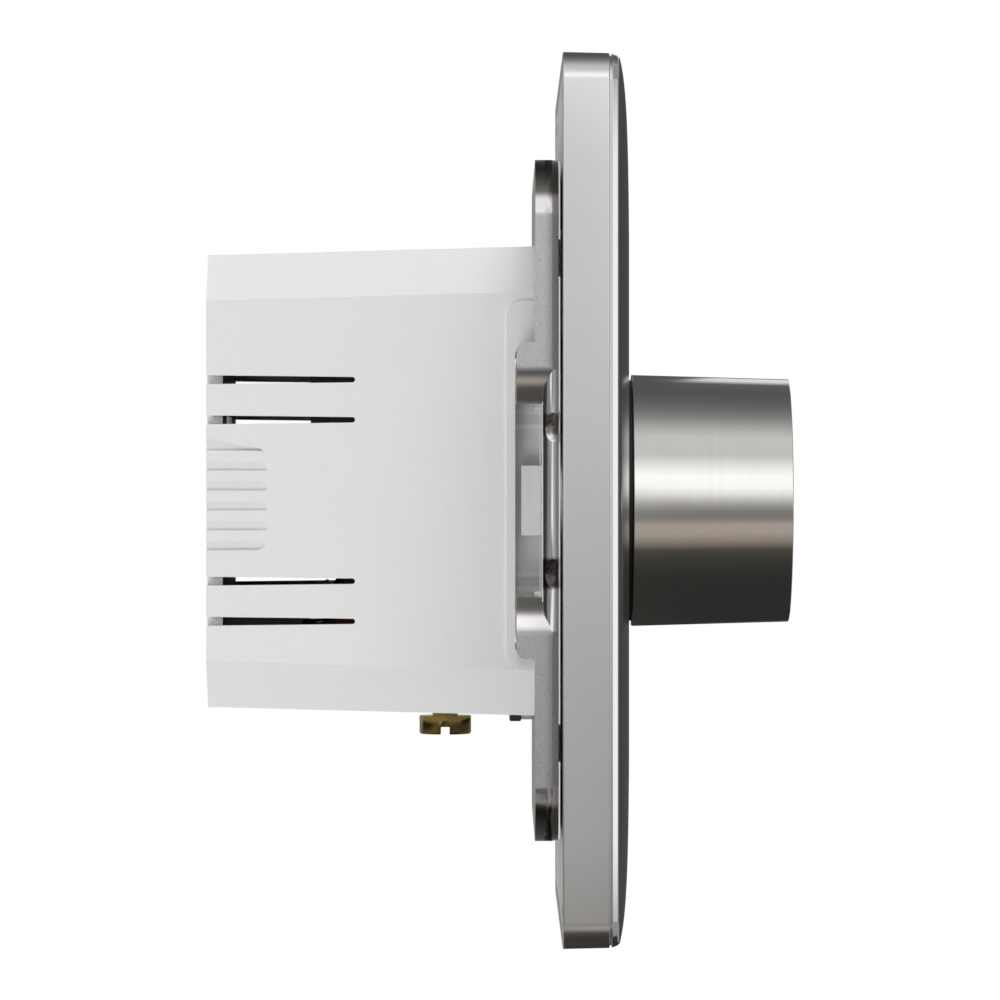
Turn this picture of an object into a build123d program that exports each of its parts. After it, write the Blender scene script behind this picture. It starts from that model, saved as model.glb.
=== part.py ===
from build123d import *
import os

os.makedirs("parts", exist_ok=True)

# Frame: +Z is up, the front faces -Y, and X runs to the right as seen from the front.
# The origin is on the knob axis, in the plane of the wall that the plate closes against.
# Places along Y are named *_y: positive is behind the wall plane, negative in front of it.

# Wall plate
plate_size = 86.0
plate_corner = 2.7
frame_front_y = -4.5
frame_draft = 1.3
frame_wall = 1.6
frame_inner_corner = 1.5
ledge_thick = 0.9
ledge_width = 2.4
back_thick = 1.25
back_recess = 0.05
back_corner = 1.4
back_rim_inset = 0.7
back_rim = 1.2
back_slot_long = 10.0
back_slot_wide = 1.1
back_slot_depth = 0.6
back_slot_x = 29.0
back_slot_inset = 1.4
fit_gap = 0.1
cut_margin = 1.0

# Trim ring and front panel
seam_groove = 0.2
trim_depth = 0.7
trim_inset = 0.12
trim_bevel = 0.15
trim_band = 1.3
trim_foot_inset = 0.22
panel_inset = 0.38
panel_edge = 0.07
panel_front_y = -6.53
dome_reach = 9.5
dome_turn = 1.5
dome_fall = 0.48
dome_ease = 4.0
dome_ease_fall = 0.2
panel_hole_r = 7.5

# Die-cast yoke
yoke_width = 74.4
yoke_height = 66.3
yoke_corner = 5.4
yoke_front_y = 0.38
yoke_rear_y = 2.61
yoke_part_y = 1.0
yoke_draft = 9.0
rebate_lip = 1.0
platform_half_z = 15.3
platform_rear_y = 4.40
platform_corner = 0.85
platform_lap = 1.1
platform_sink = 0.5
ear_half_z = 9.4
ear_rear_y = 1.95
ear_mouth_r = 3.6
ear_edge_round = 1.3
ear_lap = 3.4
ear_dip_z = 7.05
ear_dip_r = 2.6
ear_dip_depth = 0.45
slot_from_end = 7.05
fixing_slot_width = 4.0
fixing_slot_length = 7.5

# Clip carrier between yoke and plate
carrier_proud = 0.18
carrier_flange = 0.6
carrier_rim = 0.15
carrier_rim_inset = 0.14
carrier_wall_half = 26.7
carrier_wall = 1.2
carrier_wall_front_y = -3.0
carrier_corner = 2.9
carrier_gap = 0.08
carrier_bead = 0.6
carrier_bead_proud = 0.5
carrier_bead_half = 9.0
carrier_notch_z = 23.4
carrier_notch_width = 3.6
carrier_notch_deep = 2.0
carrier_bore_r = 9.0
driver_hole_r = 4.4
hook_half_z = 3.5
hook_thick = 1.1
hook_lap = 1.6
hook_rear_y = 3.9
hook_window_gap = 0.15

# Clear insulator round the potentiometer
insulator_wall = 0.7
insulator_half_z = 11.0
insulator_corner = 1.2
insulator_gap = 0.6
insulator_tongue_gap = 0.25
insulator_bar = 0.7
insulator_bar_thick = 0.5

# Rear housing
housing_half_x = 16.0
housing_top = 25.6
housing_bottom = -21.65
housing_rear_y = 35.44
rear_half_x = 15.7
rear_top = 24.7
rear_bottom = -20.8
chamfer_x = 3.7
chamfer_z = 4.7
housing_wall = 1.6
slot_tip_y = 20.54
slot_width = 0.92
slot_tip_width = 0.55
outer_slot_z = 12.1
inner_slot_z = 8.08
apron_height = 0.25
apron_rear_y = 5.38
apron_top = 20.0
apron_bottom = -16.6
apron_corner = 1.5
grip_front_y = 29.4
grip_top = 6.35
grip_top_front = 5.1
grip_bottom = -5.0
grip_corner = 1.1
grip_recess = 0.08
groove_pitch = 2.0
groove_count = 6
groove_slope = 0.92
groove_depth = 0.28
lid_thick = 1.59
vent_long = 12.0
vent_wide = 1.2
vent_pitch = 3.0
vent_count = 5
vent_top = 17.0
catch_depth = 0.45
catch_long = 0.7
catch_half_z = 0.9

# Housing screws and their bosses
boss_side_gap = 2.4
boss_top_gap = 2.6
boss_bottom_gap = 2.45
boss_r = 2.1
screw_r = 1.0
screw_head_r = 2.0
screw_head_depth = 1.1
screw_clearance = 0.05
screw_end_gap = 0.8
pilot_gap = 0.01
screw_slot = 0.5
screw_slot_depth = 0.45

# Shaft, bushing and knob
shaft_r = 3.0
shaft_running_gap = 0.05
shaft_front_y = -21.0
shaft_flat = 1.0
shaft_edge = 0.4
shaft_seat = 0.5
bushing_r = 3.5
bushing_front_y = -5.2
nut_across = 10.0
nut_thick = 2.0
washer_thick = 0.5
washer_r = 6.0
knob_rear_r = 12.9
knob_front_r = 12.45
knob_rear_y = -7.43
knob_front_y = -23.55
knob_wall = 0.9
knob_face = 1.0
knob_edge_round = 0.35
hub_fit = 0.03
hub_r = 5.4
hub_wall = 1.2
hub_rib = 1.2
hub_rib_count = 6
bore_end_gap = 0.2
skirt_inset = 0.55
skirt_thick = 0.55
skirt_bore_r = 7.0
spring_thick = 0.3
spring_length = 8.0
spring_inset = 1.5
spring_half = 1.6
off_angle = -150.0
mark_width = 1.1
mark_inner_r = 7.6
mark_outer_r = 11.2
mark_depth = 0.3

# Potentiometer and switch
can_r = 8.0
can_wall = 0.5
can_front_y = 2.7
can_rear_y = 6.3
rotor_r = 6.3
rotor_gap = 0.35
rotor_thick = 1.3
spigot_r = 1.6
spigot_rear_y = 7.6
track_thick = 0.5
switch_bore_r = 2.0
track_gap = 0.05
switch_inset = 0.1
spigot_end_gap = 0.4
can_bore_gap = 0.3
wiper_thick = 0.25
wiper_outer_r = 5.4
wiper_inner_r = 3.6
wiper_half = 2.4

# Circuit board and its components
board_front_y = 8.6
board_thick = 1.6
board_side_gap = 1.1
board_top = 20.2
board_bottom = -16.5
board_corner = 1.0
board_lift = 0.4
cap_rear_y = 25.2
cap_width = 18.0
cap_z = 11.1
cap_deep = 9.0
cap_corner = 0.8
timing_x = -9.6
timing_z = -8.75
timing_width = 6.0
timing_deep = 3.5
timing_tall = 8.0
timing_corner = 0.7
choke_x = 7.6
choke_y = 18.0
choke_z = -12.05
choke_outer_r = 6.4
choke_inner_r = 3.4
choke_thick = 5.6
turn_thick = 0.8
turn_width = 1.1
turn_count = 14
turn_gap = 0.06
turn_span = 240
fuse_z = 18.1
fuse_r = 2.0
fuse_length = 15.0
fuse_cap_length = 4.0
fuse_lift = 0.3
fuse_cap_wall = 0.2
fuse_foot = 1.2
fuse_foot_half_z = 1.2
sink_x = 1.0
sink_thick = 1.4
sink_short = 0.6
sink_half_z = 5.1
sink_centre_z = 0.95
triac_body_y = 16.0
triac_body_long = 9.4
triac_tab_long = 6.2
triac_thick = 4.4
triac_tab_thick = 1.3
triac_half_z = 5.0
lead_pitch = 2.54
lead_size = 0.7
lead_inset = 1.6
lead_overhang = 1.0
axial_lead_r = 0.3
sink_foot = 6.0
triac_hole_r = 1.5
triac_screw_r = 1.45
triac_screw_end = 1.6
triac_screw_head_r = 2.6
triac_screw_head = 1.8
triac_screw_slot = 0.6

# Small axial parts on the board
axial_z = 1.0
resistor_x = (-11.2, -8.2)
resistor_r = 1.2
resistor_long = 6.5
diac_x = -5.4
diac_r = 0.9
diac_long = 3.6

# Terminals
block_front_y = 25.9
block_half_x = 12.2
block_top = -10.2
block_bottom = -18.9
pole_x = 6.2
pole_wire_dx = -2.5
pole_screw_dx = 2.5
pole_z = -14.6
wire_hole_r = 1.9
clamp_wire_r = 1.6
clamp_gap = 0.1
clamp_floor = 0.8
block_chamfer = 2.2
driver_bore_r = 2.0
clamp_long = 4.4
clamp_half_z = 2.9
clamp_half_x = 4.9
terminal_screw_r = 1.4
terminal_head_r = 1.9
terminal_head_long = 1.8
head_slot = 0.6
head_slot_depth = 0.7

# Earth screw under the housing, with the tongue and block beside it
earth_y = 11.67
earth_head_r = 2.65
earth_head_top = -22.07
earth_head_bottom = -23.97
earth_neck_r = 1.32
earth_slot = 0.94
earth_slot_depth = 0.78
earth_plate_thick = 1.4
earth_plate_half_x = 3.4
earth_plate_half_y = 2.9
earth_end_z = -16.8
earth_edge = 0.18
earth_plate_gap = 0.1
tongue_half_x = 4.0
tongue_rear_y = 3.87
tongue_bottom = -22.35
block_rear_y = 5.08
latch_block_bottom = -22.55
latch_block_inset = 0.3
latch_gap = 0.05
latch_block_edge = 0.12

# Places that follow from the sizes above
plate_half = plate_size / 2
frame_inner_half = plate_half - frame_wall
ledge_rear_y = frame_front_y + ledge_thick
trim_rear_y = frame_front_y - seam_groove
trim_front_y = trim_rear_y - trim_depth
trim_half = plate_half - trim_inset
trim_inner_half = trim_half - trim_band
panel_half = trim_half - panel_inset
panel_edge_y = trim_front_y - panel_edge
carrier_rear_y = yoke_front_y - carrier_proud + carrier_flange
carrier_front_y = yoke_front_y - carrier_proud
yoke_floor_y = carrier_rear_y
fixing_pitch = yoke_width - 2 * slot_from_end
lid_front_y = housing_rear_y - lid_thick
boss_x = housing_half_x - housing_wall - boss_side_gap
platform_inner_x = housing_half_x - platform_lap
ear_inner_x = housing_half_x - ear_lap
hook_x = housing_half_x - hook_lap
board_half_x = housing_half_x - housing_wall - board_side_gap
boss_top_z = housing_top - housing_wall - boss_top_gap
boss_bottom_z = housing_bottom + housing_wall + boss_bottom_gap
insulator_x = housing_half_x - housing_wall - insulator_gap - insulator_wall
board_rear_y = board_front_y + board_thick
triac_tab_y = triac_body_y + triac_body_long
triac_hole_y = triac_tab_y + triac_tab_long / 2
sink_rear_y = triac_tab_y + triac_tab_long - sink_short
rotor_front_y = can_front_y + can_wall + rotor_gap
rotor_rear_y = rotor_front_y + rotor_thick
track_front_y = can_rear_y - track_thick
skirt_front_y = knob_rear_y
skirt_rear_y = skirt_front_y + skirt_thick
knob_inner_front_y = knob_front_y + knob_face


def front_plane(y):
    """A sketch plane across Y whose local x is X, local y is Z, and normal is the front."""
    return Plane(origin=(0, y, 0), x_dir=(1, 0, 0), z_dir=(0, -1, 0))


def slab(sketch, y_rear, y_front, draft=0.0):
    """The sketch, in X and Z, from the rear place to the front place along Y."""
    return extrude(front_plane(y_rear) * sketch, amount=y_rear - y_front, taper=draft)


def rod(radius, y_rear, y_front, x=0.0, z=0.0):
    return slab(Pos(x, z) * Circle(radius), y_rear, y_front)


def side_slab(sketch, x_low, x_high):
    """The sketch, in Y and Z, from one place to another along X."""
    return extrude(Plane.YZ.offset(x_low) * sketch, amount=x_high - x_low)


def block(x, y, z):
    """A box from three (low, high) pairs."""
    size = [pair[1] - pair[0] for pair in (x, y, z)]
    centre = [(pair[0] + pair[1]) / 2 for pair in (x, y, z)]
    return Pos(*centre) * Box(*size)


def both_sides(shape):
    return shape + mirror(shape, about=Plane.YZ)


def rounded_square(half, radius):
    return RectangleRounded(2 * half, 2 * half, radius)


def save(name, shape):
    export_step(shape, "parts/" + name + ".step")


# Wall plate: satin side frame, moulded back, bright trim ring and domed front panel

def make_side_frame():
    """Drafted outer skin, open at the rear, with a ledge at the front that carries the panel."""
    outer = slab(rounded_square(plate_half, plate_corner), 0, frame_front_y, frame_draft)
    inner_corner = frame_inner_corner
    hollow = slab(rounded_square(frame_inner_half, inner_corner), 0, ledge_rear_y)
    window = slab(rounded_square(frame_inner_half - ledge_width, inner_corner), ledge_rear_y, frame_front_y)
    return outer - hollow - window


def make_plate_back():
    """Moulded back that closes the frame, with the carrier's opening and four narrow slots."""
    half = frame_inner_half - fit_gap
    rear_y = -back_recess
    front_y = rear_y - back_thick
    sheet = slab(rounded_square(half, back_corner), rear_y, front_y)
    rim_half = half - back_rim_inset
    rim = slab(rounded_square(rim_half, back_corner), front_y, ledge_rear_y)
    rim -= slab(rounded_square(rim_half - back_rim, back_corner), front_y, ledge_rear_y)
    opening = slab(rounded_square(carrier_wall_half + fit_gap, carrier_corner + fit_gap), rear_y, front_y)
    slot = SlotOverall(back_slot_long, back_slot_wide)
    slot_z = half - back_slot_inset
    cuts = [Pos(x, z) * slot for x in (-back_slot_x, back_slot_x) for z in (-slot_z, slot_z)]
    slots = slab(Sketch() + cuts, rear_y, rear_y - back_slot_depth)
    return sheet + rim - opening - slots


def make_trim_ring():
    """Bright ring with a bevelled front edge, stood off the frame by a narrower foot."""
    outline = rounded_square(trim_half, plate_corner)
    ring = slab(outline, trim_rear_y, trim_front_y)
    ring = chamfer(ring.faces().sort_by(Axis.Y)[0].edges(), trim_bevel)
    foot_outline = rounded_square(trim_half - trim_foot_inset, plate_corner - trim_foot_inset)
    foot = slab(foot_outline, frame_front_y, trim_rear_y)
    hole = slab(rounded_square(trim_inner_half, plate_corner - trim_band), frame_front_y, trim_front_y)
    return ring + foot - hole


def crown_profile():
    """Half section of the dome: a long easy curve that steepens towards a thin edge."""
    half = panel_half
    return Bezier((half, panel_edge_y), (half - dome_turn, panel_edge_y - dome_fall),
                  (half - dome_ease, panel_front_y + dome_ease_fall), (half - dome_reach, panel_front_y))


def make_front_panel():
    """Dark panel: a plug inside the trim ring and a domed face that overhangs the ring."""
    fall = crown_profile()
    base = frame_front_y
    right = Line((panel_half, base), (panel_half, panel_edge_y))
    flat = Line((panel_half - dome_reach, panel_front_y), (0, panel_front_y))
    axis = Line((0, panel_front_y), (0, base))
    bottom = Line((0, base), (panel_half, base))
    half_face = make_face([right, fall, flat, axis, bottom])
    face = half_face + mirror(half_face, about=Plane.YZ)
    across_z = extrude(face, amount=plate_half, both=True)
    across_x = Rot(0, 90, 0) * across_z
    plan = slab(rounded_square(panel_half, plate_corner - panel_inset), base, panel_front_y)
    plug_half = trim_inner_half - fit_gap
    undercut = slab(Rectangle(plate_size, plate_size), base, trim_front_y)
    undercut -= slab(rounded_square(plug_half, plate_corner - trim_band), base, trim_front_y)
    panel = plan & across_z & across_x
    return panel - undercut - rod(panel_hole_r, base, panel_front_y)


# Yoke and clip carrier

def ear_recess():
    """Space behind one ear for the wall box's lug: straight jambs that flare at the outer edge."""
    edge_x = yoke_width / 2
    reach = edge_x + cut_margin
    corner_z = ear_half_z + ear_mouth_r
    corner_x = edge_x - ear_mouth_r
    straight = Pos((ear_inner_x + reach) / 2, 0) * Rectangle(reach - ear_inner_x, 2 * ear_half_z)
    flare = Pos((corner_x + reach) / 2, 0) * Rectangle(reach - corner_x, 2 * corner_z)
    rounds = [Pos(corner_x, z) * Circle(ear_mouth_r) for z in (-corner_z, corner_z)]
    plan = straight + (flare - rounds)
    rear_y = platform_rear_y + cut_margin
    low_y = ear_rear_y - ear_edge_round
    round_x = edge_x - ear_edge_round
    floor = Pos((ear_inner_x + reach) / 2, (ear_rear_y + rear_y) / 2)
    floor *= Rectangle(reach - ear_inner_x, rear_y - ear_rear_y)
    edge = Pos((round_x + reach) / 2, (low_y + ear_rear_y) / 2)
    edge *= Rectangle(reach - round_x, ear_edge_round)
    section = floor + (edge - Pos(round_x, low_y) * Circle(ear_edge_round))
    depth = extrude(section, amount=2 * corner_z, both=True)
    return slab(plan, rear_y, low_y) & depth


def make_yoke():
    """Cast plate: drafted forward of its parting line, thick across the middle, with lug recesses."""
    half_x = yoke_width / 2
    outline = RectangleRounded(yoke_width, yoke_height, yoke_corner)
    plate = slab(outline, yoke_rear_y, yoke_part_y)
    plate += slab(outline, yoke_part_y, yoke_front_y, yoke_draft)
    band_depth = platform_rear_y - yoke_front_y
    band_y = yoke_front_y + band_depth / 2
    band = Pos(band_y, 0) * Rectangle(band_depth, 2 * platform_half_z)
    band = fillet(band.vertices().group_by(Axis.X)[-1], platform_corner)
    platform = both_sides(side_slab(band, platform_inner_x, half_x))
    seat_y = yoke_rear_y - platform_sink
    platform -= slab(Rectangle(2 * yoke_width, 2 * yoke_width), seat_y, seat_y - platform_rear_y)
    body = plate + platform
    body = body - both_sides(ear_recess())
    rebate = slab(RectangleRounded(yoke_width - 2 * rebate_lip, yoke_height - 2 * rebate_lip,
                                   yoke_corner - rebate_lip), yoke_floor_y, yoke_front_y)
    body -= rebate
    slot = SlotOverall(fixing_slot_length, fixing_slot_width)
    body -= both_sides(slab(Pos(fixing_pitch / 2, 0) * slot, platform_rear_y, yoke_front_y))
    window_half_z = hook_half_z + hook_window_gap
    window = block((hook_x - hook_window_gap, hook_x + hook_thick + hook_window_gap), (0, platform_rear_y),
                   (-window_half_z, window_half_z))
    body -= both_sides(window)
    dips = []
    for sign in (-1, 1):
        dip = Pos(half_x + ear_dip_r - ear_dip_depth, 0, sign * ear_dip_z)
        dips.append(dip * Rot(90, 0, 0) * Cylinder(ear_dip_r, 2 * platform_rear_y))
    body -= both_sides(dips[0] + dips[1])
    body -= rod(bushing_r + screw_clearance, yoke_rear_y, yoke_floor_y)
    for x, z in screw_places():
        body -= rod(screw_r + screw_clearance, yoke_rear_y, yoke_floor_y, x, z)
        body -= countersink(x, z, screw_clearance)
    return body


def screw_places():
    return [(x, z) for x in (-boss_x, boss_x) for z in (boss_bottom_z, boss_top_z)]


def countersink(x, z, grow):
    """The cone of a flat screw head whose face is level with the floor of the rebate."""
    cone = Cone(screw_r + grow, screw_head_r + grow, screw_head_depth)
    return Pos(x, yoke_floor_y + screw_head_depth / 2, z) * Rot(90, 0, 0) * cone


def make_clip_carrier():
    """White moulding in the yoke's rebate: rim over its front edge, snap wall for the plate and two hooks."""
    half_x = yoke_width / 2 - rebate_lip - carrier_gap
    half_z = yoke_height / 2 - rebate_lip - carrier_gap
    outline = RectangleRounded(2 * half_x, 2 * half_z, yoke_corner - rebate_lip)
    rim_x = yoke_width / 2 - carrier_rim_inset
    rim_z = yoke_height / 2 - carrier_rim_inset
    rim_outline = RectangleRounded(2 * rim_x, 2 * rim_z, yoke_corner - carrier_rim_inset)
    flange = slab(outline, carrier_rear_y, carrier_front_y)
    flange += slab(rim_outline, carrier_front_y + carrier_rim, carrier_front_y)
    for z in (-carrier_notch_z, carrier_notch_z):
        notch = block((half_x - carrier_notch_deep, rim_x), (carrier_front_y, carrier_rear_y),
                      (z - carrier_notch_width / 2, z + carrier_notch_width / 2))
        flange -= both_sides(notch)
    dip_half = (ear_dip_r ** 2 - (ear_dip_r - ear_dip_depth) ** 2) ** 0.5
    clear_x = yoke_width / 2 - ear_dip_depth - carrier_rim_inset
    for z in (-ear_dip_z, ear_dip_z):
        clear = block((clear_x, rim_x), (carrier_front_y, carrier_rear_y), (z - dip_half, z + dip_half))
        flange -= both_sides(clear)
    wall = slab(rounded_square(carrier_wall_half, carrier_corner), carrier_front_y, carrier_wall_front_y)
    hollow = slab(rounded_square(carrier_wall_half - carrier_wall, carrier_corner - carrier_wall),
                  carrier_front_y, carrier_wall_front_y)
    bead_rear_y = -back_recess - back_thick - fit_gap / 2
    bead_half = carrier_wall_half + carrier_bead_proud
    bead = block((0, bead_half), (bead_rear_y - carrier_bead, bead_rear_y),
                 (-carrier_bead_half, carrier_bead_half))
    hook = block((hook_x, hook_x + hook_thick), (carrier_rear_y, hook_rear_y), (-hook_half_z, hook_half_z))
    body = flange + wall + both_sides(bead) - hollow + both_sides(hook)
    body -= rod(carrier_bore_r, carrier_rear_y, carrier_front_y)
    body -= both_sides(rod(driver_hole_r, carrier_rear_y, carrier_front_y, fixing_pitch / 2))
    return body


def make_clear_insulator():
    """Clear tray round the potentiometer: two walls joined by thin bars on the yoke."""
    seat_y = yoke_rear_y + fit_gap / 2
    rear_y = board_front_y - fit_gap
    tongue_half = ear_half_z - insulator_tongue_gap
    upper = Pos((seat_y + rear_y) / 2, 0) * Rectangle(rear_y - seat_y, 2 * insulator_half_z)
    upper = fillet(upper.vertices().group_by(Axis.X)[-1], insulator_corner)
    tongue_y = ear_rear_y + fit_gap
    tongue = Pos((tongue_y + seat_y) / 2, 0) * Rectangle(seat_y - tongue_y, 2 * tongue_half)
    wall = side_slab(upper + tongue, insulator_x, insulator_x + insulator_wall)
    bar_half_x = insulator_x + insulator_wall / 2
    bar = block((-bar_half_x, bar_half_x), (seat_y, seat_y + insulator_bar_thick),
                (insulator_half_z - insulator_bar, insulator_half_z))
    return both_sides(wall) + bar + mirror(bar, about=Plane.XY)


# Rear housing

def housing_section(y, inset=0.0):
    """The housing's outline at a place along Y: a tall box with chamfered corners."""
    share = (y - yoke_rear_y) / (housing_rear_y - yoke_rear_y)
    half_x = housing_half_x + (rear_half_x - housing_half_x) * share
    top = housing_top + (rear_top - housing_top) * share
    bottom = housing_bottom + (rear_bottom - housing_bottom) * share
    outline = Polygon((half_x, bottom + chamfer_z), (half_x, top - chamfer_z), (half_x - chamfer_x, top),
                      (chamfer_x - half_x, top), (-half_x, top - chamfer_z), (-half_x, bottom + chamfer_z),
                      (chamfer_x - half_x, bottom), (half_x - chamfer_x, bottom), align=None)
    if inset:
        outline = offset(outline, amount=-inset, kind=Kind.INTERSECTION)
    return front_plane(y) * outline


def housing_loft(y_rear, y_front, inset=0.0):
    return loft([housing_section(y_rear, inset), housing_section(y_front, inset)])


def side_slots():
    """Tapering round-ended slots through both side walls, open at the rear."""
    cuts = Sketch()
    rear = housing_rear_y + cut_margin
    half = slot_width / 2
    tip = slot_tip_width / 2
    tip_y = slot_tip_y + tip
    for z in (-outer_slot_z, -inner_slot_z, inner_slot_z, outer_slot_z):
        cuts += Polygon((tip_y, z - tip), (rear, z - half), (rear, z + half), (tip_y, z + tip), align=None)
        cuts += Pos(tip_y, z) * Circle(tip)
    return side_slab(cuts, -2 * housing_half_x, 2 * housing_half_x)


def grip_cut():
    """Finger grip sunk in the side wall: flat bands, with a groove that slopes inward below each."""
    flat_x = rear_half_x - grip_recess
    clear_x = housing_half_x + cut_margin
    rear_y = housing_rear_y + 1.0
    outline = Polygon((rear_y, grip_top), (grip_front_y, grip_top_front), (grip_front_y, grip_bottom),
                      (rear_y, grip_bottom), align=None)
    outline = fillet(outline.vertices().group_by(Axis.X)[0], grip_corner)
    region = side_slab(outline, flat_x - groove_depth, clear_x)
    cut = side_slab(outline, flat_x, clear_x)
    for index in range(groove_count):
        low_z = grip_bottom + groove_pitch * index
        top_z = low_z + groove_slope
        section = Polygon((flat_x, top_z), (flat_x - groove_depth, low_z), (clear_x, low_z), (clear_x, top_z),
                          align=None)
        cut += slab(section, rear_y, grip_front_y - cut_margin) & region
    return cut


def apron():
    """Slightly raised panel of the side wall round the notch, at the front."""
    middle_y = (yoke_rear_y + apron_rear_y) / 2
    middle_z = (apron_bottom + apron_top) / 2
    outline = Pos(middle_y, middle_z) * Rectangle(apron_rear_y - yoke_rear_y, apron_top - apron_bottom)
    outline = fillet(outline.vertices().group_by(Axis.X)[-1], apron_corner)
    return side_slab(outline, housing_half_x - 0.5, housing_half_x + apron_height)


def side_notch():
    """Cut at the front of both side walls that fits over the yoke's thick band."""
    depth = platform_rear_y + fit_gap - yoke_rear_y + 1.0
    middle_y = platform_rear_y + fit_gap - depth / 2
    outline = Pos(middle_y, 0) * Rectangle(depth, 2 * (platform_half_z + fit_gap))
    outline = fillet(outline.vertices().group_by(Axis.X)[-1], platform_corner)
    return side_slab(outline, -2 * housing_half_x, 2 * housing_half_x)


def catch_places():
    middle = (inner_slot_z + outer_slot_z) / 2
    return (-middle, middle)


def lid_catches(grow=0.0):
    """Bumps inside the four tongues between the slots, which hold the rear lid."""
    inner_x = rear_half_x - housing_wall
    middle_y = (lid_front_y + housing_rear_y) / 2
    shapes = []
    for z in catch_places():
        shapes.append(block((inner_x - catch_depth - grow, inner_x + 0.3),
                            (middle_y - catch_long / 2 - grow, middle_y + catch_long / 2 + grow),
                            (z - catch_half_z - grow, z + catch_half_z + grow)))
    return both_sides(shapes[0] + shapes[1])


def make_housing():
    """Moulded shell, drafted to the rear, with its bosses, slots, grips and notches."""
    outer = housing_loft(housing_rear_y, yoke_rear_y)
    shell = outer + both_sides(apron())
    for x, z in screw_places():
        shell += rod(boss_r, board_front_y, yoke_rear_y, x, z) & outer
    hollow = housing_loft(housing_rear_y, yoke_rear_y, housing_wall)
    bosses = [rod(boss_r, board_front_y, yoke_rear_y, x, z) for x, z in screw_places()]
    shell -= hollow - bosses
    shell -= both_sides(grip_cut())
    shell -= side_slots()
    shell += lid_catches()
    shell -= side_notch()
    for x, z in screw_places():
        shell -= rod(screw_r + pilot_gap, board_front_y - screw_end_gap / 2, yoke_rear_y, x, z)
    shell -= Pos(0, earth_y, housing_bottom) * Cylinder(earth_neck_r + fit_gap, 4 * housing_wall)
    return shell


def make_rear_lid():
    """Plug-in lid with a wire hole and a screwdriver hole for each pole."""
    lid = housing_loft(housing_rear_y, lid_front_y, housing_wall + fit_gap)
    lid -= lid_catches(fit_gap)
    for side in (-1, 1):
        lid -= rod(wire_hole_r, housing_rear_y, lid_front_y, side * pole_x + pole_wire_dx, pole_z)
        lid -= rod(driver_bore_r, housing_rear_y, lid_front_y, side * pole_x + pole_screw_dx, pole_z)
    vent = SlotOverall(vent_long, vent_wide)
    for index in range(vent_count):
        lid -= slab(Pos(0, vent_top - vent_pitch * index) * vent, housing_rear_y, lid_front_y)
    return lid


def make_housing_screws():
    """Four countersunk screws from the front, through the yoke into the housing's bosses."""
    group = []
    for x, z in screw_places():
        shank = rod(screw_r, board_front_y - screw_end_gap, yoke_floor_y + screw_head_depth, x, z)
        screw = shank + countersink(x, z, 0.0)
        slot = block((x - screw_head_r, x + screw_head_r), (yoke_floor_y, yoke_floor_y + screw_slot_depth),
                     (z - screw_slot / 2, z + screw_slot / 2))
        group.append(screw - slot)
    return Compound(children=group)


# Parts below the housing

def make_earth_screw():
    """Cheese-head brass screw pointing up, its driver slot across the view from the side."""
    head_mid = (earth_head_top + earth_head_bottom) / 2
    head = Pos(0, earth_y, head_mid) * Cylinder(earth_head_r, earth_head_top - earth_head_bottom)
    head = chamfer(head.edges().sort_by(Axis.Z)[0], earth_edge)
    neck_mid = (earth_head_top + earth_end_z) / 2
    neck = Pos(0, earth_y, neck_mid) * Cylinder(earth_neck_r, earth_end_z - earth_head_top)
    slot = block((-earth_head_r, earth_head_r), (earth_y - earth_slot / 2, earth_y + earth_slot / 2),
                 (earth_head_bottom - 1, earth_head_bottom + earth_slot_depth))
    return head + neck - slot


def make_earth_terminal():
    """Threaded brass plate just inside the bottom wall, which the earth screw clamps."""
    share = (earth_y - yoke_rear_y) / (housing_rear_y - yoke_rear_y)
    floor_z = housing_bottom + (rear_bottom - housing_bottom) * share + housing_wall + earth_plate_gap
    plate = block((-earth_plate_half_x, earth_plate_half_x),
                  (earth_y - earth_plate_half_y, earth_y + earth_plate_half_y),
                  (floor_z, floor_z + earth_plate_thick))
    return plate - Pos(0, earth_y, floor_z) * Cylinder(earth_neck_r, 4 * earth_plate_thick)


def make_latch_tongue():
    """Steel tongue folded back from the yoke, under the housing's front edge."""
    top = housing_bottom - latch_gap
    return block((-tongue_half_x, tongue_half_x), (yoke_rear_y, tongue_rear_y), (tongue_bottom, top))


def make_latch_block():
    """Black moulded stop behind the tongue."""
    half_x = tongue_half_x - latch_block_inset
    stop = block((-half_x, half_x), (tongue_rear_y, block_rear_y),
                 (latch_block_bottom, housing_bottom - latch_gap))
    return chamfer(stop.edges().filter_by(Axis.X).group_by(Axis.Z)[0], latch_block_edge)


# Shaft and knob

def make_shaft():
    """Plain shaft with a flat for the knob along its front."""
    shaft = rod(shaft_r, rotor_front_y + shaft_seat, shaft_front_y)
    shaft = chamfer(shaft.faces().sort_by(Axis.Y)[0].edges(), shaft_edge)
    flat_z = shaft_r - shaft_flat
    flat = block((-shaft_r, shaft_r), (shaft_front_y, knob_rear_y), (flat_z, shaft_r))
    return turn(shaft - flat)


def turn(shape):
    """A piece drawn with its mark at the top, turned to the knob's off position."""
    return Rot(0, off_angle, 0) * shape


def cone_wall_r(y):
    """Outer radius of the knob at a place along Y."""
    share = (y - knob_rear_y) / (knob_front_y - knob_rear_y)
    return knob_rear_r + (knob_front_r - knob_rear_r) * share


def turned(points):
    """Solid of revolution about the knob axis from (radius, y) points."""
    return revolve(make_face(Polyline(*points, close=True)), axis=Axis.Y)


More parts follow.
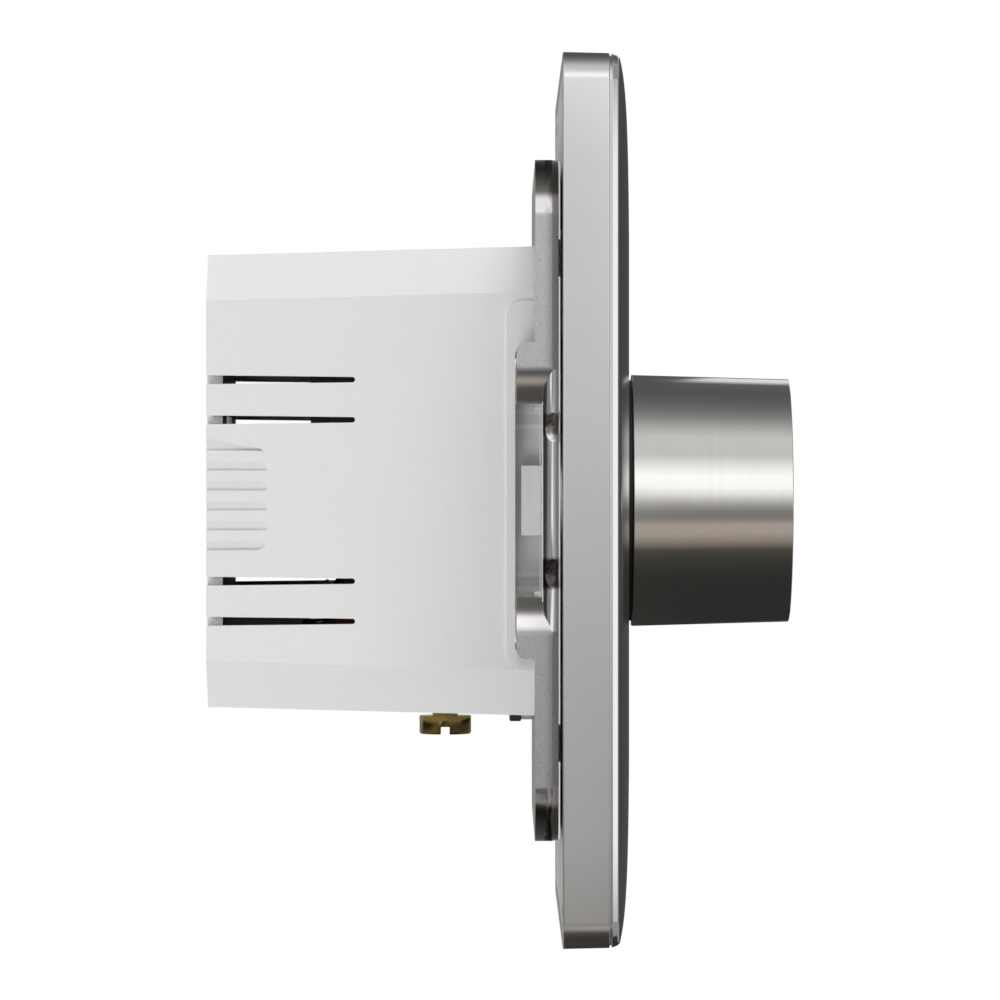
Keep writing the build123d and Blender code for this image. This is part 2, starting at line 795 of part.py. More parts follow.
def make_knob_shell():
    """Satin steel cap, slightly tapered, with a soft front edge and a pocket for the mark."""
    skin = turned([(0, knob_rear_y), (knob_rear_r, knob_rear_y), (knob_front_r, knob_front_y),
                   (0, knob_front_y)])
    skin = fillet(skin.faces().sort_by(Axis.Y)[0].edges(), knob_edge_round)
    inner_front_r = cone_wall_r(knob_inner_front_y) - knob_wall
    hollow = turned([(0, knob_rear_y), (knob_rear_r - knob_wall, knob_rear_y),
                     (inner_front_r, knob_inner_front_y), (0, knob_inner_front_y)])
    return turn(skin - hollow - mark_shape())


def mark_shape():
    middle_z = (mark_inner_r + mark_outer_r) / 2
    bar = SlotOverall(mark_outer_r - mark_inner_r, mark_width)
    return slab(Pos(0, middle_z) * Rot(0, 0, 90) * bar, knob_front_y + mark_depth, knob_front_y)


def make_knob_hub():
    """Moulded hub: outer wall inside the cap, ribs, and a centre tube with a flatted bore."""
    rear_r = knob_rear_r - knob_wall - hub_fit
    front_r = cone_wall_r(knob_inner_front_y) - knob_wall - hub_fit
    body = turned([(0, knob_rear_y), (rear_r, knob_rear_y), (front_r, knob_inner_front_y),
                   (0, knob_inner_front_y)])
    web_y = knob_inner_front_y + hub_wall
    cavity = turned([(hub_r, knob_rear_y), (rear_r - hub_wall, knob_rear_y), (front_r - hub_wall, web_y),
                     (hub_r, web_y)])
    ribs = []
    for index in range(hub_rib_count):
        rib = block((-hub_rib / 2, hub_rib / 2), (web_y, knob_rear_y), (0, rear_r))
        ribs.append(Rot(0, index * 360 / hub_rib_count, 0) * rib)
    body -= cavity - ribs
    bore = rod(shaft_r + hub_fit, knob_rear_y, shaft_front_y - bore_end_gap)
    flat_z = shaft_r - shaft_flat + spring_thick + 2 * hub_fit
    bore -= block((-shaft_r - hub_r, shaft_r + hub_r), (knob_front_y, knob_rear_y), (flat_z, flat_z + hub_r))
    return turn(body - bore)


def make_knob_skirt():
    """Black disc on the rear of the hub, which closes the gap to the front panel."""
    outer = rod(knob_rear_r - skirt_inset, skirt_rear_y, skirt_front_y)
    return outer - rod(skirt_bore_r, skirt_rear_y, skirt_front_y)


def make_knob_spring():
    """Spring steel strip between the shaft's flat and the hub."""
    low = shaft_r - shaft_flat + hub_fit
    rear_y = knob_rear_y - spring_inset
    strip = block((-spring_half, spring_half), (rear_y - spring_length, rear_y), (low, low + spring_thick))
    return turn(strip)


def make_bushing():
    """Threaded bushing of the potentiometer, clamped in the yoke, with the shaft's bore."""
    barrel = rod(bushing_r, can_front_y, bushing_front_y)
    return barrel - rod(shaft_r + shaft_running_gap, can_front_y, bushing_front_y)


def make_bushing_washer():
    ring = rod(washer_r, yoke_floor_y, yoke_floor_y - washer_thick)
    return ring - rod(bushing_r, yoke_floor_y, yoke_floor_y - washer_thick)


def make_bushing_nut():
    rear_y = yoke_floor_y - washer_thick
    hexagon = RegularPolygon(nut_across / 2, 6, major_radius=False)
    nut = slab(hexagon, rear_y, rear_y - nut_thick)
    return nut - rod(bushing_r, rear_y, rear_y - nut_thick)


def make_pot_can():
    """Pressed can of the potentiometer, open at the rear."""
    can = rod(can_r, can_rear_y, can_front_y)
    can -= rod(can_r - can_wall, can_rear_y, can_front_y + can_wall)
    return can - rod(shaft_r + can_bore_gap, can_front_y + can_wall, can_front_y)


def make_pot_track():
    wafer = rod(can_r - can_wall - track_gap, can_rear_y, track_front_y)
    return wafer - rod(switch_bore_r, can_rear_y, track_front_y)


def make_rotor():
    """Moulded rotor on the shaft's end, with a spigot that works the switch."""
    disc = rod(rotor_r, rotor_rear_y, rotor_front_y)
    disc -= rod(shaft_r, rotor_front_y + shaft_seat, rotor_front_y)
    spigot = rod(spigot_r, spigot_rear_y, rotor_rear_y)
    return disc + spigot


def make_wiper():
    """Sprung metal contact on the rotor's rear face."""
    rear_y = rotor_rear_y + wiper_thick
    ring = rod(wiper_outer_r, rear_y, rotor_rear_y) - rod(wiper_inner_r, rear_y, rotor_rear_y)
    sector = block((-wiper_half, wiper_half), (rotor_rear_y, rear_y), (0, wiper_outer_r))
    return turn(ring & sector)


def make_switch_body():
    """On-off switch wafer behind the potentiometer, with a well for the rotor's spigot."""
    rear_y = board_front_y - fit_gap / 2
    body = rod(can_r - switch_inset, rear_y, can_rear_y)
    return body - rod(switch_bore_r, spigot_rear_y + spigot_end_gap, can_rear_y)


# Electronics

def make_circuit_board():
    outline = RectangleRounded(2 * board_half_x, board_top - board_bottom, board_corner)
    return slab(Pos(0, (board_top + board_bottom) / 2) * outline, board_rear_y, board_front_y)


def make_film_capacitor():
    case = block((-cap_width / 2, cap_width / 2), (board_rear_y, cap_rear_y),
                 (cap_z - cap_deep / 2, cap_z + cap_deep / 2))
    return fillet(case.edges().filter_by(Axis.Y), cap_corner)


def make_choke_core():
    ring = Cylinder(choke_outer_r, choke_thick) - Cylinder(choke_inner_r, choke_thick)
    return Pos(choke_x, choke_y, choke_z) * Rot(0, 90, 0) * ring


def make_choke_winding():
    """Turns of heavy wire round the core's section, spaced round two thirds of it."""
    mean_r = (choke_outer_r + choke_inner_r) / 2
    section = choke_outer_r - choke_inner_r
    outer = Box(choke_thick + 2 * turn_thick, section + 2 * turn_thick, turn_width)
    inner = Box(choke_thick + 2 * turn_gap, section + 2 * turn_gap, turn_width)
    loop = outer - inner
    group = []
    for index in range(turn_count):
        angle = turn_span * (index / (turn_count - 1) - 0.5)
        group.append(Pos(choke_x, choke_y, choke_z) * Rot(angle, 0, 0) * Pos(0, mean_r, 0) * loop)
    return Compound(children=group)


def triac_hole(radius):
    """The hole through the triac's tab and the heat sink behind it, or a rod for it."""
    reach = 4 * triac_thick
    return Pos(sink_x, triac_hole_y, sink_centre_z) * Rot(0, 90, 0) * Cylinder(radius, reach)


def make_triac():
    """Triac: moulded body with a metal tab, standing on three leads from the board."""
    z = (sink_centre_z - triac_half_z, sink_centre_z + triac_half_z)
    body = block((sink_x - triac_thick, sink_x), (triac_body_y, triac_tab_y), z)
    tab = block((sink_x - triac_tab_thick, sink_x), (triac_tab_y, triac_tab_y + triac_tab_long), z)
    shape = body + tab
    lead_x = sink_x - triac_thick + lead_inset
    for index in (-1, 0, 1):
        lead_z = sink_centre_z + index * lead_pitch
        shape += block((lead_x, lead_x + lead_size), (board_rear_y, triac_body_y),
                       (lead_z - lead_size / 2, lead_z + lead_size / 2))
    return shape - triac_hole(triac_hole_r)


def make_heat_sink():
    """Folded aluminium plate standing on the board, with the triac screwed to it."""
    z = (sink_centre_z - sink_half_z, sink_centre_z + sink_half_z)
    plate = block((sink_x, sink_x + sink_thick), (board_rear_y, sink_rear_y), z)
    foot = block((sink_x, sink_x + sink_foot), (board_rear_y, board_rear_y + sink_thick), z)
    return plate + foot - triac_hole(triac_hole_r)


def make_triac_screw():
    """Slotted screw through the triac's tab into the heat sink."""
    head_x = sink_x - triac_tab_thick
    top_x = head_x - triac_screw_head
    end_x = sink_x + sink_thick + triac_screw_end
    y = (board_rear_y, lid_front_y)
    z = (board_bottom, board_top)
    shank = triac_hole(triac_screw_r) & block((head_x, end_x), y, z)
    head = triac_hole(triac_screw_head_r) & block((top_x, head_x), y, z)
    slot_y = (triac_hole_y - triac_screw_head_r, triac_hole_y + triac_screw_head_r)
    slot_z = (sink_centre_z - triac_screw_slot / 2, sink_centre_z + triac_screw_slot / 2)
    return shank + head - block((top_x, top_x + head_slot_depth), slot_y, slot_z)


def make_fuse_tube():
    middle_y = board_rear_y + fuse_r + fuse_lift
    length = fuse_length - 2 * fuse_cap_length
    return Pos(0, middle_y, fuse_z) * Rot(0, 90, 0) * Cylinder(fuse_r - fuse_cap_wall, length)


def make_fuse_caps():
    middle_y = board_rear_y + fuse_r + fuse_lift
    group = []
    for side in (-1, 1):
        centre = side * (fuse_length - fuse_cap_length) / 2
        cap = Pos(centre, middle_y, fuse_z) * Rot(0, 90, 0) * Cylinder(fuse_r, fuse_cap_length)
        foot = block((centre - fuse_foot / 2, centre + fuse_foot / 2), (board_rear_y, middle_y),
                     (fuse_z - fuse_foot_half_z, fuse_z + fuse_foot_half_z))
        group.append(cap + foot)
    return Compound(children=group)


def axial_part(x, radius, length):
    """A small axial part lying along Z just above the board, with its two leads bent to it."""
    y = board_rear_y + radius + board_lift
    half = length / 2 + lead_overhang
    shape = Pos(x, y, axial_z) * Cylinder(radius, length)
    shape += Pos(x, y, axial_z) * Cylinder(axial_lead_r, 2 * half)
    for end in (-half, half):
        shape += rod(axial_lead_r, y, board_rear_y, x, axial_z + end)
    return shape


def make_resistors():
    return Compound(children=[axial_part(x, resistor_r, resistor_long) for x in resistor_x])


def make_diac():
    return axial_part(diac_x, diac_r, diac_long)


def make_timing_capacitor():
    case = block((timing_x - timing_width / 2, timing_x + timing_width / 2),
                 (board_rear_y, board_rear_y + timing_tall),
                 (timing_z - timing_deep / 2, timing_z + timing_deep / 2))
    return fillet(case.edges().filter_by(Axis.Y), timing_corner)


# Terminals at the rear

def make_terminal_block():
    """Moulded block inside the lid with a well for each brass clamp."""
    body = block((-block_half_x, block_half_x), (block_front_y, lid_front_y), (block_bottom, block_top))
    body = chamfer(body.edges().filter_by(Axis.Y).group_by(Axis.Z)[0], block_chamfer)
    well_half_x = clamp_half_x + clamp_gap
    well_half_z = clamp_half_z + clamp_gap
    for centre in (-pole_x, pole_x):
        body -= block((centre - well_half_x, centre + well_half_x),
                      (lid_front_y - clamp_long - clamp_gap, lid_front_y),
                      (pole_z - well_half_z, pole_z + well_half_z))
    return body


def make_terminal_clamps():
    """Brass clamp for each pole, bored for the wire and tapped for its screw."""
    front_y = lid_front_y - clamp_long
    rear_y = lid_front_y - clamp_gap
    head_y = rear_y - terminal_head_long
    group = []
    for centre in (-pole_x, pole_x):
        clamp = block((centre - clamp_half_x, centre + clamp_half_x), (front_y, rear_y),
                      (pole_z - clamp_half_z, pole_z + clamp_half_z))
        screw_x = centre + pole_screw_dx
        clamp -= rod(clamp_wire_r, rear_y, front_y + clamp_floor, centre + pole_wire_dx, pole_z)
        clamp -= rod(terminal_head_r + hub_fit, rear_y, head_y, screw_x, pole_z)
        clamp -= rod(terminal_screw_r, rear_y, front_y, screw_x, pole_z)
        group.append(clamp)
    return Compound(children=group)


def make_terminal_screws():
    """Brass screw in each clamp, its slotted head just inside the lid's driver hole."""
    rear_y = lid_front_y - clamp_gap
    head_y = rear_y - terminal_head_long
    group = []
    for centre in (-pole_x, pole_x):
        x = centre + pole_screw_dx
        head = rod(terminal_head_r, rear_y, head_y, x, pole_z)
        shank = rod(terminal_screw_r, head_y, lid_front_y - clamp_long, x, pole_z)
        slot = block((x - terminal_head_r, x + terminal_head_r), (rear_y - head_slot_depth, rear_y),
                     (pole_z - head_slot / 2, pole_z + head_slot / 2))
        group.append(head + shank - slot)
    return Compound(children=group)


pieces = {
    "side_frame": make_side_frame,
    "plate_back": make_plate_back,
    "trim_ring": make_trim_ring,
    "front_panel": make_front_panel,
    "clip_carrier": make_clip_carrier,
    "yoke": make_yoke,
    "clear_insulator": make_clear_insulator,
    "housing": make_housing,
    "rear_lid": make_rear_lid,
    "housing_screws": make_housing_screws,
    "earth_screw": make_earth_screw,
    "earth_terminal": make_earth_terminal,
    "latch_tongue": make_latch_tongue,
    "latch_block": make_latch_block,
    "knob_shell": make_knob_shell,
    "pointer_mark": lambda: turn(mark_shape()),
    "knob_hub": make_knob_hub,
    "knob_skirt": make_knob_skirt,
    "knob_spring": make_knob_spring,
    "shaft": make_shaft,
    "rotor": make_rotor,
    "wiper": make_wiper,
    "bushing": make_bushing,
    "bushing_washer": make_bushing_washer,
    "bushing_nut": make_bushing_nut,
    "pot_can": make_pot_can,
    "pot_track": make_pot_track,
    "switch_body": make_switch_body,
    "circuit_board": make_circuit_board,
    "film_capacitor": make_film_capacitor,
    "timing_capacitor": make_timing_capacitor,
    "choke_core": make_choke_core,
    "choke_winding": make_choke_winding,
    "triac": make_triac,
    "heat_sink": make_heat_sink,
    "triac_screw": make_triac_screw,
    "fuse_tube": make_fuse_tube,
    "fuse_caps": make_fuse_caps,
    "resistors": make_resistors,
    "diac": make_diac,
    "terminal_block": make_terminal_block,
    "terminal_clamps": make_terminal_clamps,
    "terminal_screws": make_terminal_screws,
}

for name, make in pieces.items():
    save(name, make())
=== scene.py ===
import bpy, math
import numpy as np
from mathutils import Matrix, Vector


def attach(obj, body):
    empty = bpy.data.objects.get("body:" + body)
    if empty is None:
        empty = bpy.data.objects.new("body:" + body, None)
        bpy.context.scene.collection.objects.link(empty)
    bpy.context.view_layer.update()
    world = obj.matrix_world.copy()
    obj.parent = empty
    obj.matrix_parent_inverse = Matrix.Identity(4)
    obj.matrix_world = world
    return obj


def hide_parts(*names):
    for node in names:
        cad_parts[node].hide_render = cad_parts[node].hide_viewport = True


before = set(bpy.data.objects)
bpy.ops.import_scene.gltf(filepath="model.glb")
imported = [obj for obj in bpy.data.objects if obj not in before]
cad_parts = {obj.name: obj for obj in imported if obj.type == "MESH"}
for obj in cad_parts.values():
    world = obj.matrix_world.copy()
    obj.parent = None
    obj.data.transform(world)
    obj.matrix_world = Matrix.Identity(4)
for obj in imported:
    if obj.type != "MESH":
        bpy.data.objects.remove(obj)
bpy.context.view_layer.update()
mm = 0.001
print("frame loaded:", len(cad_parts), "nodes")


# small mesh tools, in millimetres

def linked(name, data):
    # a new object put into the scene
    made = bpy.data.objects.new(name, data)
    bpy.context.scene.collection.objects.link(made)
    return made


def gridMesh(name, points, closeRows=False):
    # a grid of points, rows by columns, joined into quads; columns always close round, rows close when asked
    rows, cols = points.shape[:2]
    index = np.arange(rows * cols).reshape(rows, cols)
    if closeRows:
        index = np.vstack([index, index[:1]])
    here = index[:-1]
    below = index[1:]
    quads = np.stack([here, np.roll(here, -1, 1), np.roll(below, -1, 1), below], -1).reshape(-1, 4)
    mesh = bpy.data.meshes.new(name)
    mesh.vertices.add(rows * cols)
    mesh.vertices.foreach_set("co", (points.reshape(-1, 3) * mm).ravel())
    mesh.loops.add(quads.size)
    mesh.loops.foreach_set("vertex_index", quads.ravel())
    mesh.polygons.add(len(quads))
    mesh.polygons.foreach_set("loop_start", np.arange(0, quads.size, 4))
    mesh.polygons.foreach_set("use_smooth", np.ones(len(quads), dtype=bool))
    mesh.update(calc_edges=True)
    mesh.validate()
    return linked(name, mesh)


def squareRing(half, corner, y, cornerSteps=14, sideSteps=10):
    # a rounded square round the Y axis: each quarter is an arc followed by a straight side
    arc = np.radians(np.linspace(0, 90, cornerSteps))
    side = np.linspace(0, 1, sideSteps + 1)[1:-1]
    flat = half - corner
    x = np.concatenate([flat + corner * np.cos(arc), flat - 2 * flat * side])
    z = np.concatenate([flat + corner * np.sin(arc), np.full(side.size, half)])
    quarters = [(x, z), (-z, x), (-x, -z), (z, -x)]
    ring = np.concatenate([np.stack([a, np.full(a.size, y), b], -1) for a, b in quarters])
    return ring[::-1]


def roundedRows(corners, radius, steps=5, hold=0.03, most=0.45):
    # a closed profile of (inset, y) corners; each becomes a quadratic curve between the points where an arc
    # of the radius would meet its two sides, kept within a share of the shorter side, and a row held close
    # to each end of the curve keeps the shading of the walls between flat
    rows = []
    count = len(corners)
    for i in range(count):
        before, here, after = (np.array(corners[(i + k) % count], float) for k in (-1, 0, 1))
        room = min(np.linalg.norm(before - here), np.linalg.norm(after - here))
        towards = (before - here) / np.linalg.norm(before - here)
        away = (after - here) / np.linalg.norm(after - here)
        bend = math.acos(np.clip(np.dot(towards, away), -1, 1))
        reach = min(radius / math.tan(bend / 2), most * room - hold)
        start = here + towards * reach
        end = here + away * reach
        t = np.linspace(0, 1, steps)[:, None]
        rows.append((start + towards * hold)[None])
        rows.append((1 - t) ** 2 * start + 2 * t * (1 - t) * here + t ** 2 * end)
        rows.append((end + away * hold)[None])
    return np.concatenate(rows)


def bezier(corners, steps):
    # points of a cubic curve from its four control points
    t = np.linspace(0, 1, steps)[:, None]
    a, b, c, d = (np.array(p, float) for p in corners)
    return (1 - t) ** 3 * a + 3 * t * (1 - t) ** 2 * b + 3 * t ** 2 * (1 - t) * c + t ** 3 * d


def revolved(name, profile, steps=192):
    # a closed profile of (radius, y) points turned about the Y axis: x = r sin, z = r cos
    turn = np.linspace(0, 2 * math.pi, steps, endpoint=False)
    r = profile[:, 0][:, None]
    y = profile[:, 1][:, None]
    points = np.stack(np.broadcast_arrays(r * np.sin(turn), y, r * np.cos(turn)), -1)
    return gridMesh(name, points, closeRows=True)


def flatBoard(name, corners):
    # one face, with its corners in metres
    mesh = bpy.data.meshes.new(name)
    mesh.from_pydata(corners, [], [tuple(range(len(corners)))])
    return linked(name, mesh)


# small material tools

mixSockets = {"first": 6, "second": 7, "result": 2}  # the colour sockets' places on a mix node


def newMaterial(name):
    # a material with its node tree and its main shader
    material = bpy.data.materials.new(name)
    material.use_nodes = True
    tree = material.node_tree
    return material, tree, tree.nodes["Principled BSDF"]


def rgba(shade):
    # a colour of three shares, or a grey of one share, made opaque
    return (*shade, 1) if isinstance(shade, tuple) else (shade, shade, shade, 1)


def setInput(tree, socket, value):
    # a socket takes another node's output or a constant
    if isinstance(value, bpy.types.NodeSocket):
        tree.links.new(value, socket)
    else:
        socket.default_value = value


def addNode(tree, kind, inputs):
    # a new node with its inputs set, each by its name or its place
    made = tree.nodes.new(kind)
    for key, value in inputs.items():
        setInput(tree, made.inputs[key], value)
    return made


def mathNode(tree, operation, first, second=0.0):
    made = addNode(tree, "ShaderNodeMath", {0: first, 1: second})
    made.operation = operation
    return made.outputs[0]


def product(tree, *factors):
    # the factors multiplied one after another
    total = factors[0]
    for factor in factors[1:]:
        total = mathNode(tree, "MULTIPLY", total, factor)
    return total


def isBelow(tree, value, limit):
    # 1 where the value is under the limit in millimetres, else 0
    return mathNode(tree, "LESS_THAN", value, limit * mm)


def isAbove(tree, value, limit):
    # 1 where the value is over the limit in millimetres, else 0
    return mathNode(tree, "GREATER_THAN", value, limit * mm)


def shareOf(tree, value, low, high):
    # rises evenly from 0 to 1 as the value goes from low to high
    made = addNode(tree, "ShaderNodeMapRange", {"Value": value, "From Min": low, "From Max": high})
    return made.outputs[0]


def stepAlong(tree, value, low, high):
    # rises softly from 0 to 1 as the value goes from low to high millimetres
    made = addNode(tree, "ShaderNodeMapRange", {"Value": value, "From Min": low * mm, "From Max": high * mm})
    made.interpolation_type = "SMOOTHSTEP"
    return made.outputs[0]


def levelBy(tree, share, low, high):
    # goes from the low level to the high one as the share goes from 0 to 1
    made = addNode(tree, "ShaderNodeMapRange", {"Value": share, "To Min": low, "To Max": high})
    return made.outputs[0]


def mixColor(tree, factor, first, second, blend="MIX"):
    made = tree.nodes.new("ShaderNodeMix")
    made.data_type = "RGBA"
    made.blend_type = blend
    setInput(tree, made.inputs["Factor"], factor)
    for key, value in (("first", first), ("second", second)):
        color = value if isinstance(value, bpy.types.NodeSocket) else rgba(value)
        setInput(tree, made.inputs[mixSockets[key]], color)
    return made.outputs[mixSockets["result"]]


def shadeByShare(tree, share, shades):
    # one colour ramp from a dictionary of shades, whose places run from 0 to 1
    made = addNode(tree, "ShaderNodeValToRGB", {"Fac": share})
    places = sorted(shades)
    stops = made.color_ramp.elements
    for place in places[1:-1]:
        stops.new(place)
    for stop, place in zip(stops, places):
        stop.color = rgba(shades[place])
    return made.outputs["Color"]


def shadeByTurn(tree, share, shades, half=180):
    # the same for a dictionary of degrees, from half a turn below to half a turn above
    places = {(degrees + half) / (2 * half): shade for degrees, shade in shades.items()}
    return shadeByShare(tree, share, places)


def blendOver(tree, value, span, first, second):
    # the first colour up to the span of values, the second beyond it, and a blend within
    low, high = span
    return shadeByShare(tree, value, {0: first, low: first, high: second, 1: second})


def objectPlace(tree):
    # the point's X, Y and Z on its own object, in metres
    where = tree.nodes.new("ShaderNodeTexCoord")
    return addNode(tree, "ShaderNodeSeparateXYZ", {0: where.outputs["Object"]}).outputs


def objectNoise(tree, scale, detail, stretch=(1, 1, 1)):
    # noise on the piece's own coordinates, in metres, so scale is in cells per metre
    where = tree.nodes.new("ShaderNodeTexCoord")
    mapping = addNode(tree, "ShaderNodeMapping", {"Vector": where.outputs["Object"], "Scale": stretch})
    made = addNode(tree, "ShaderNodeTexNoise",
                   {"Vector": mapping.outputs["Vector"], "Scale": scale, "Detail": detail})
    return made.outputs["Fac"]


def addBump(tree, shader, height, look):
    # small relief on a shader, from a height of 0 to 1
    bump = addNode(tree, "ShaderNodeBump",
                   {"Height": height, "Strength": look["bump"], "Distance": look["depth"]})
    setInput(tree, shader.inputs["Normal"], bump.outputs["Normal"])


def mixShaders(tree, factor, first, second):
    # the material turns from the first shader to the second with the factor
    both = addNode(tree, "ShaderNodeMixShader", {"Fac": factor, 1: first.outputs[0], 2: second.outputs[0]})
    setInput(tree, tree.nodes["Material Output"].inputs["Surface"], both.outputs[0])


# finishes

plainLook = {
    "metal": 0.0, "sockets": {}, "stretch": (1, 1, 1), "vary": 0.04, "varySpan": (0.3, 0.7),
    "broad": 60, "broadDetail": 4.0, "grain": 3000, "grainDetail": 2.0, "bump": 0.1, "depth": 0.00002,
}
looks = {
    "satinFrame": {"color": (0.80, 0.795, 0.79), "metal": 1.0, "rough": 0.17, "grain": 2600, "bump": 0.05,
                   "depth": 0.00001, "vary": 0.02},
    "brightTrim": {"color": (0.86, 0.86, 0.855), "metal": 1.0, "rough": 0.10, "vary": 0.01, "bump": 0.02},
    "darkPanel": {"color": (0.036, 0.035, 0.034), "rough": 0.16, "bump": 0.02,
                  "sockets": {"Specular IOR Level": 0.35}},
    "greyMoulding": {"color": (0.42, 0.415, 0.425), "rough": 0.5, "bump": 0.15},
    "whiteMoulding": {"color": (0.77, 0.77, 0.765), "rough": 0.45, "vary": 0.008, "bump": 0.05},
    # the clip carrier's white: the housing's white plastic, painted lighter where the carrier lies in shade
    "litWhiteMoulding": {"color": (0.90, 0.895, 0.885), "rough": 0.4, "vary": 0.008, "bump": 0.05},
    "blackMoulding": {"color": (0.02, 0.02, 0.021), "rough": 0.45},
    "satinKnob": {"color": (0.845, 0.835, 0.82), "metal": 1.0, "rough": 0.095, "stretch": (1, 30, 1),
                  "grain": 700, "bump": 0.03, "vary": 0.015},
    "markFill": {"color": (0.8, 0.8, 0.8), "rough": 0.5},
    "steel": {"color": (0.62, 0.61, 0.60), "metal": 1.0, "rough": 0.28},
    "brass": {"color": (0.62, 0.46, 0.19), "metal": 1.0, "rough": 0.25, "vary": 0.08},
    # the earth screw's brass, painted darker for the shade it sits in below the housing
    "shadedBrass": {"color": (0.24, 0.17, 0.055), "metal": 1.0, "rough": 0.2, "vary": 0.15, "broad": 400},
    "phenolic": {"color": (0.20, 0.10, 0.05), "rough": 0.55, "stretch": (1, 12, 1)},
    "board": {"color": (0.03, 0.16, 0.07), "rough": 0.4},
    "capacitorCase": {"color": (0.03, 0.03, 0.035), "rough": 0.3},
    "ferrite": {"color": (0.045, 0.045, 0.047), "rough": 0.6, "bump": 0.3},
    "copperWire": {"color": (0.20, 0.07, 0.03), "metal": 0.5, "rough": 0.3},
    "deviceBody": {"color": (0.025, 0.025, 0.027), "rough": 0.5},
    "sink": {"color": (0.78, 0.78, 0.79), "metal": 1.0, "rough": 0.35, "stretch": (1, 1, 20)},
    "fuseGlass": {"color": (0.95, 0.97, 0.97), "rough": 0.03, "vary": 0.0, "bump": 0.0,
                  "sockets": {"Transmission Weight": 0.95, "IOR": 1.5}},
    "zincCan": {"color": (0.62, 0.615, 0.61), "metal": 0.4, "rough": 0.4},
    "resistorBody": {"color": (0.42, 0.32, 0.20), "rough": 0.45},
}


def finishOf(name, changes):
    # one finish: a base colour with a soft variation, a fine grain as bump, and its gloss
    look = {**plainLook, **changes}
    material, tree, shader = newMaterial(name)
    shader.inputs["Metallic"].default_value = look["metal"]
    shader.inputs["Roughness"].default_value = look["rough"]
    for socket, value in look["sockets"].items():
        shader.inputs[socket].default_value = value
    base = np.array(look["color"])
    dark = tuple(base * (1 - look["vary"]))
    light = tuple(np.minimum(base * (1 + look["vary"]), 1))
    broad = objectNoise(tree, look["broad"], look["broadDetail"], look["stretch"])
    setInput(tree, shader.inputs["Base Color"], blendOver(tree, broad, look["varySpan"], dark, light))
    addBump(tree, shader, objectNoise(tree, look["grain"], look["grainDetail"], look["stretch"]), look)
    return material


# the yoke's alloy: an as-cast skin of fine grain with light and dark pits, polished round the lug recesses
# and at its corners; painted shade darkens the corners' ends, two dips of the recesses' rail and a strip
# towards the front edge, and the recesses' jambs are matt with painted reflections and shade; places are in
# millimetres
alloy = {
    "cast": (0.62, 0.615, 0.61), "pit": (0.47, 0.46, 0.455), "glint": (0.76, 0.76, 0.75),
    # the end colour is painted shade: a dark reflection painted on the corners' ends
    "polish": (0.82, 0.81, 0.80), "end": (0.16, 0.155, 0.14), "strip": (0.54, 0.53, 0.53),
    "grain": 9000, "grainDetail": 2.0, "specks": 5200, "speckDetail": 1.0,
    "pitSpan": (0.28, 0.36), "glintSpan": (0.66, 0.74),
    "roughCast": 0.33, "roughPolish": 0.10, "bump": 0.5, "depth": 0.00002,
    "mouthZ": 12.65, "cornerZ": (27.4, 27.9), "shadedEndZ": (29.0, 29.9), "rearY": 2.595,
    # the strip colour is painted shade towards the front edge
    "stripY": (1.85, 0.6), "mouthPaintedStripY": (0.72, 0.6),
    # the dips' colours are painted shade, lighter in the upper dip than in the lower
    "dips": [((6.35, 8.35), (0.25, 0.215, 0.19)), ((-8.5, -5.6), (0.09, 0.08, 0.078))],
    "dipX": 36.3, "dipSoft": 0.25,
    "jambZ": (9.3, 12.95), "jambX": 33.0, "railX": 35.9, "railY": 0.65, "railR": 1.33,
    "jambRough": 0.6, "jambSpecular": 0.2,
}
# the jambs' painted reflections and shade by distance from the middle height, from the first value of jambZ
# to the second
upperJambPaintedLight = {
    0: 0.11, 0.04: 0.11, 0.12: (0.06, 0.056, 0.047), 0.36: (0.075, 0.07, 0.058), 0.44: (0.09, 0.08, 0.07),
    0.52: (0.21, 0.185, 0.165), 0.60: (0.34, 0.31, 0.275), 0.68: (0.29, 0.265, 0.235),
    0.76: (0.14, 0.13, 0.12), 0.845: 0.085, 0.925: 0.2, 1: 0.45,
}
lowerJambPaintedLight = {
    0: (0.08, 0.08, 0.068), 0.05: (0.08, 0.08, 0.068), 0.28: (0.11, 0.10, 0.085), 0.36: (0.16, 0.14, 0.13),
    0.44: (0.38, 0.35, 0.34), 0.52: 0.8, 0.60: 0.95, 0.76: 0.95, 0.845: 0.72, 0.925: 0.4, 1: 0.4,
}


def castSkin(tree):
    # the cast colour: dark pits and light glints from one speckle noise
    specks = objectNoise(tree, alloy["specks"], alloy["speckDetail"])
    pits = blendOver(tree, specks, alloy["pitSpan"], alloy["pit"], alloy["cast"])
    glints = blendOver(tree, specks, alloy["glintSpan"], 0, 1)
    return mixColor(tree, glints, pits, alloy["glint"])


def frontStripShade(tree, y, inMouth):
    # the darker strip towards the front edge, painted shade for the shaded gap by the plate, which is
    # narrower round the lug recesses
    wide = product(tree, stepAlong(tree, y, *alloy["stripY"]), mathNode(tree, "SUBTRACT", 1.0, inMouth))
    slim = product(tree, stepAlong(tree, y, *alloy["mouthPaintedStripY"]), inMouth)
    return mathNode(tree, "ADD", wide, slim)


def dipShadeAt(tree, side, z, span):
    # one dip of the rail, painted darker as shade: a span of heights with soft ends, on the outermost part
    low, high = span
    soft = alloy["dipSoft"]
    above = stepAlong(tree, z, low - soft, low + soft)
    below = stepAlong(tree, z, high + soft, high - soft)
    return product(tree, above, below, isAbove(tree, side, alloy["dipX"]))


